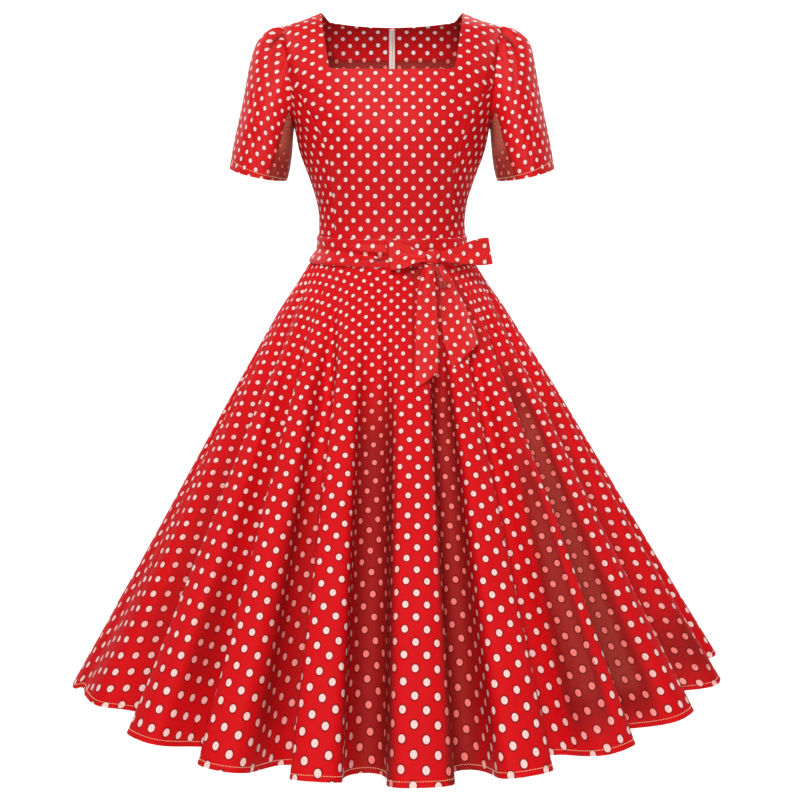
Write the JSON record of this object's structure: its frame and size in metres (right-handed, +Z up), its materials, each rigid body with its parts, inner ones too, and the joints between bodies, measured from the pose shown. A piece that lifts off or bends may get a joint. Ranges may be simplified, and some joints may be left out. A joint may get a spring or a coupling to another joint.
{
  "type": "a-line dress",
  "caption": "Short-sleeved swing dress with a square neckline, princess seams, a full circle skirt in soft folds, a sash with a bow and a back zip.",
  "frame": {"origin": "between the shoulders, on the line through the neck ends of the two shoulder seams", "axes": "+Z up towards the wearer's head, the dress faces -Y, +X towards the wearer's left"},
  "size_m": [1.062, 1.0811, 1.0613],
  "materials": {
    "cloth": "woven cotton with a soft sheen",
    "zip_tape": "woven tape",
    "zip_metal": "enamelled"
  },
  "bodies": {
    "garment": {"front_bodice_centre": "cloth", "front_bodice_side_left": "cloth", "front_bodice_side_right": "cloth", "back_bodice_left": "cloth", "back_bodice_right": "cloth", "sleeve_left": "cloth", "sleeve_right": "cloth", "skirt_front": "cloth", "skirt_back_left": "cloth", "skirt_back_right": "cloth", "sash_band": "cloth", "bow_knot": "cloth", "bow_loop_left": "cloth", "bow_loop_right": "cloth", "sash_end_front": "cloth", "sash_end_side": "cloth", "zip_tape_left": "zip_tape", "zip_tape_right": "zip_tape", "zip_slider": "zip_metal"},
    "pull_tab": {"zip_pull_tab": "zip_metal"}
  },
  "joints": [
    {"name": "pull_tab_swing", "type": "hinge", "parent": "garment", "child": "pull_tab", "pos_m": [0, 0.07854, -0.02961], "axis": [1, 0, 0], "range_deg": [0, 150]}
  ]
}
